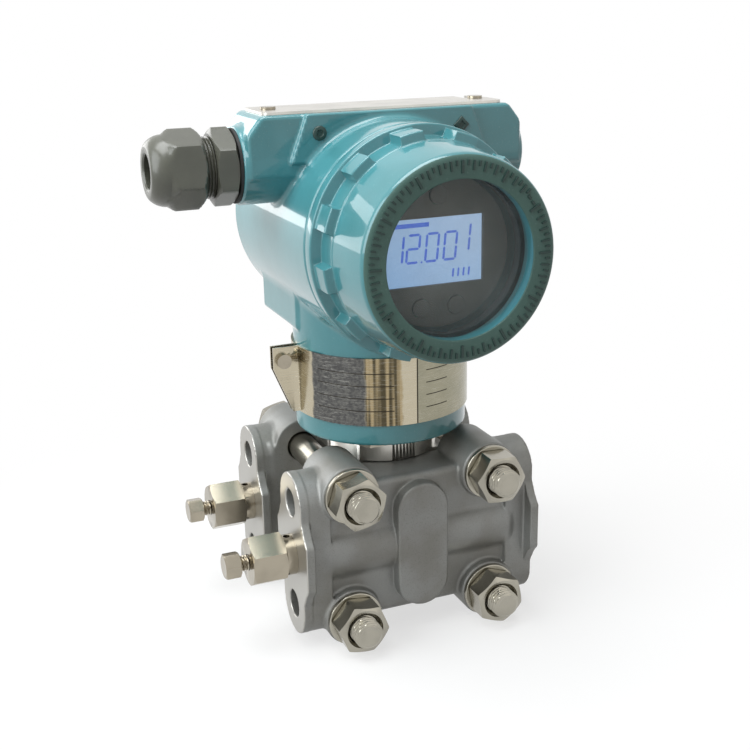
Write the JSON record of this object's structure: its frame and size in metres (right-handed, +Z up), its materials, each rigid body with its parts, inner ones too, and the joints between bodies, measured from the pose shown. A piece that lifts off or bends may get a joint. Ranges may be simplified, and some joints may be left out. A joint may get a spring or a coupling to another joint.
{
  "type": "differential pressure transmitter",
  "caption": "Differential pressure transmitter: a round electronics housing with a windowed display cover and cable gland stands on two bolted cast process flanges.",
  "frame": {"origin": "middle of the process connection face, between the two ports and level with them", "axes": "+Z up along the neck, -Y towards the display, +X out of the process connection face, where a manifold bolts on"},
  "size_m": [0.1405, 0.1324, 0.197],
  "materials": {
    "cast_stainless": "bead-blasted cast stainless steel",
    "bright_steel": "machined bright stainless steel",
    "polished_sheet": "polished thin stainless sheet",
    "painted_housing": "glossy blue-green enamel over cast aluminium",
    "grey_nylon": "dark warm grey nylon",
    "black_rubber": "black rubber",
    "clear_glass": "clear toughened glass",
    "brown_plastic": "grey-brown moulded plastic",
    "screen": "lit liquid crystal screen",
    "green_board": "green laminate board",
    "black_plastic": "black moulded plastic",
    "brass": "plain brass"
  },
  "bodies": {
    "sensor": {"flange_front": "cast_stainless", "flange_rear": "cast_stainless", "cell_body": "bright_steel", "cell_diaphragms": "bright_steel", "cell_seals": "black_rubber", "neck_seal": "black_rubber", "sensor_header": "bright_steel", "neck_lock_nut": "bright_steel", "flange_bolts": "bright_steel", "flange_washers": "bright_steel", "flange_nuts": "bright_steel", "vent_valve_bodies": "bright_steel"},
    "housing": {"housing": "painted_housing", "top_plate_screws": "bright_steel", "board_standoffs": "brass", "main_board": "green_board", "board_components": "black_plastic", "display_standoffs": "brass", "display_board": "green_board", "display_bezel": "brown_plastic", "lcd_panel": "screen", "lcd_backlight": "black_plastic", "terminal_block": "black_plastic", "terminal_clamps": "brass", "terminal_screws": "bright_steel", "ground_screw": "brass", "gland_body": "grey_nylon", "gland_washer": "black_rubber", "conduit_plug": "bright_steel", "band_nameplate": "polished_sheet", "band_screw": "bright_steel", "band_nut": "bright_steel"},
    "front_seal": {"front_cover_seal": "black_rubber"},
    "front_cover": {"front_cover": "painted_housing", "window_glass": "clear_glass", "window_gasket": "black_rubber", "window_retainer": "black_plastic"},
    "rear_seal": {"rear_cover_seal": "black_rubber"},
    "rear_cover": {"rear_cover": "painted_housing"},
    "gland_seal": {"gland_seal": "black_rubber"},
    "gland_nut": {"gland_dome_nut": "grey_nylon"},
    "top_plate": {"top_plate": "polished_sheet"},
    "zero_adjuster": {"zero_adjuster": "bright_steel"},
    "span_adjuster": {"span_adjuster": "bright_steel"},
    "key_left": {"key_left": "brown_plastic"},
    "key_right": {"key_right": "brown_plastic"},
    "key_top": {"key_top": "brown_plastic"},
    "vent_stem_front": {"vent_stem_front": "bright_steel"},
    "vent_stem_rear": {"vent_stem_rear": "bright_steel"}
  },
  "joints": [
    {"name": "housing_turn", "type": "hinge", "parent": "sensor", "child": "housing", "pos_m": [-0.0478, 0, 0.06], "axis": [0, 0, 1], "range_deg": [-180, 180]},
    {"name": "front_cover_travel", "type": "slide", "parent": "housing", "child": "front_seal", "axis": [0, -1, 0], "range_m": [0, 0.0121]},
    {"name": "front_cover_turn", "type": "hinge", "parent": "front_seal", "child": "front_cover", "pos_m": [-0.0478, -0.054, 0.1153], "axis": [0, -1, 0], "range_deg": [0, 2160]},
    {"name": "rear_cover_travel", "type": "slide", "parent": "housing", "child": "rear_seal", "axis": [0, 1, 0], "range_m": [0, 0.0121]},
    {"name": "rear_cover_turn", "type": "hinge", "parent": "rear_seal", "child": "rear_cover", "pos_m": [-0.0478, 0.055, 0.1153], "axis": [0, 1, 0], "range_deg": [0, 2160]},
    {"name": "gland_seal_travel", "type": "slide", "parent": "housing", "child": "gland_seal", "axis": [-1, 0, 0], "range_m": [0, 0.006]},
    {"name": "gland_nut_turn", "type": "hinge", "parent": "gland_seal", "child": "gland_nut", "pos_m": [-0.1242, 0, 0.1413], "axis": [-1, 0, 0], "range_deg": [0, 1443]},
    {"name": "top_plate_swing", "type": "hinge", "parent": "housing", "child": "top_plate", "pos_m": [-0.0888, 0, 0.1598], "axis": [0, 0, -1], "range_deg": [0, 100]},
    {"name": "zero_adjuster_press", "type": "slide", "parent": "housing", "child": "zero_adjuster", "axis": [0, 0, -1], "range_m": [0, 0.0008], "stiffness_N_per_m": 400},
    {"name": "span_adjuster_press", "type": "slide", "parent": "housing", "child": "span_adjuster", "axis": [0, 0, -1], "range_m": [0, 0.0008], "stiffness_N_per_m": 400},
    {"name": "key_left_press", "type": "slide", "parent": "housing", "child": "key_left", "axis": [0, 1, 0], "range_m": [0, 0.0006], "stiffness_N_per_m": 400},
    {"name": "key_right_press", "type": "slide", "parent": "housing", "child": "key_right", "axis": [0, 1, 0], "range_m": [0, 0.0006], "stiffness_N_per_m": 400},
    {"name": "key_top_press", "type": "slide", "parent": "housing", "child": "key_top", "axis": [0, 1, 0], "range_m": [0, 0.0006], "stiffness_N_per_m": 400},
    {"name": "vent_stem_front_turn", "type": "hinge", "parent": "sensor", "child": "vent_stem_front", "pos_m": [-0.108, -0.027, 0], "axis": [-1, 0, 0], "range_deg": [0, 720]},
    {"name": "vent_stem_rear_turn", "type": "hinge", "parent": "sensor", "child": "vent_stem_rear", "pos_m": [-0.108, 0.027, 0], "axis": [-1, 0, 0], "range_deg": [0, 720]}
  ],
  "couplings": [
    {"joint": "front_cover_travel", "follows": "front_cover_turn", "m_per_rad": 0.00031831},
    {"joint": "rear_cover_travel", "follows": "rear_cover_turn", "m_per_rad": 0.00031831},
    {"joint": "gland_nut_turn", "follows": "gland_seal_travel", "rad_per_m": 4188.8}
  ]
}
